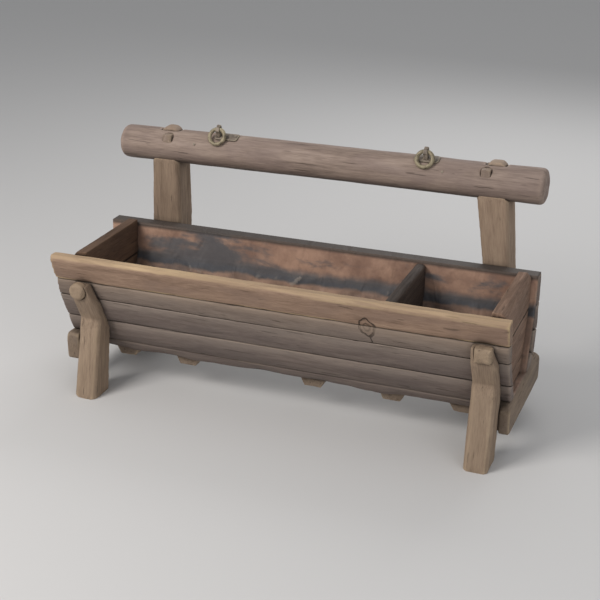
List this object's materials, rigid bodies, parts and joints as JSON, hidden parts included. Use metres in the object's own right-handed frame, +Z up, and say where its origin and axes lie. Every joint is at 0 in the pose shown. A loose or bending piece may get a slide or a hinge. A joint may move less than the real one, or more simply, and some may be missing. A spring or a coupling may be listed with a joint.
{
  "type": "livestock feed manger",
  "caption": "Timber-built feed trough with a sheet-metal liner, end boards and a divider, and a round tie rail with iron tie rings on two rear posts.",
  "frame": {"origin": "on the ground, under the centre of the bounding box", "axes": "+X to the user's right along the trough, as seen from its open front; +Y to the rear posts; +Z up"},
  "size_m": [1.414, 0.562, 0.7736],
  "materials": {
    "rim_timber": "worn tan softwood, bare",
    "wall_timber": "weathered grey-brown softwood, bare",
    "frame_timber": "weathered tan hardwood, bare",
    "peg_timber": "weathered tan hardwood, bare",
    "rail_timber": "polished by use, grey-brown",
    "end_board_timber": "brown, greasy from use",
    "divider_timber": "near-black with age",
    "liner_sheet": "thin sheet, stained and rusted in patches",
    "forged_iron": "forged, worn and rusted"
  },
  "bodies": {
    "manger": {"front_rim_plank": "rim_timber", "back_rim_plank": "rim_timber", "front_plank_2": "wall_timber", "front_plank_3": "wall_timber", "front_plank_4": "wall_timber", "front_plank_5": "wall_timber", "back_plank_2": "wall_timber", "back_plank_3": "wall_timber", "back_plank_4": "wall_timber", "sole_board_1": "wall_timber", "sole_board_2": "wall_timber", "left_sill": "frame_timber", "right_sill": "frame_timber", "left_front_leg": "frame_timber", "right_front_leg": "frame_timber", "left_rear_post": "frame_timber", "right_rear_post": "frame_timber", "bearer_1": "frame_timber", "bearer_2": "frame_timber", "bearer_3": "frame_timber", "bearer_4": "frame_timber", "bearer_5": "frame_timber", "left_leg_peg": "peg_timber", "right_leg_peg": "peg_timber", "left_post_peg": "peg_timber", "right_post_peg": "peg_timber", "left_rail_peg": "peg_timber", "right_rail_peg": "peg_timber", "tie_rail": "rail_timber", "left_end_board_1": "end_board_timber", "left_end_board_2": "end_board_timber", "left_end_board_3": "end_board_timber", "right_end_board_1": "end_board_timber", "right_end_board_2": "end_board_timber", "right_end_board_3": "end_board_timber", "divider_board": "divider_timber", "trough_liner": "liner_sheet", "left_ring_plate": "forged_iron", "right_ring_plate": "forged_iron", "left_ring_eye": "forged_iron", "right_ring_eye": "forged_iron", "rail_nails": "forged_iron"},
    "left_ring": {"left_tie_ring": "forged_iron"},
    "right_ring": {"right_tie_ring": "forged_iron"}
  },
  "joints": [
    {"name": "left_ring_swing", "type": "hinge", "parent": "manger", "child": "left_ring", "pos_m": [-0.339, 0.19566, 0.76045], "axis": [-1, 0, 0], "range_deg": [0, 258]},
    {"name": "right_ring_swing", "type": "hinge", "parent": "manger", "child": "right_ring", "pos_m": [0.331, 0.19566, 0.76045], "axis": [-1, 0, 0], "range_deg": [0, 258]}
  ]
}
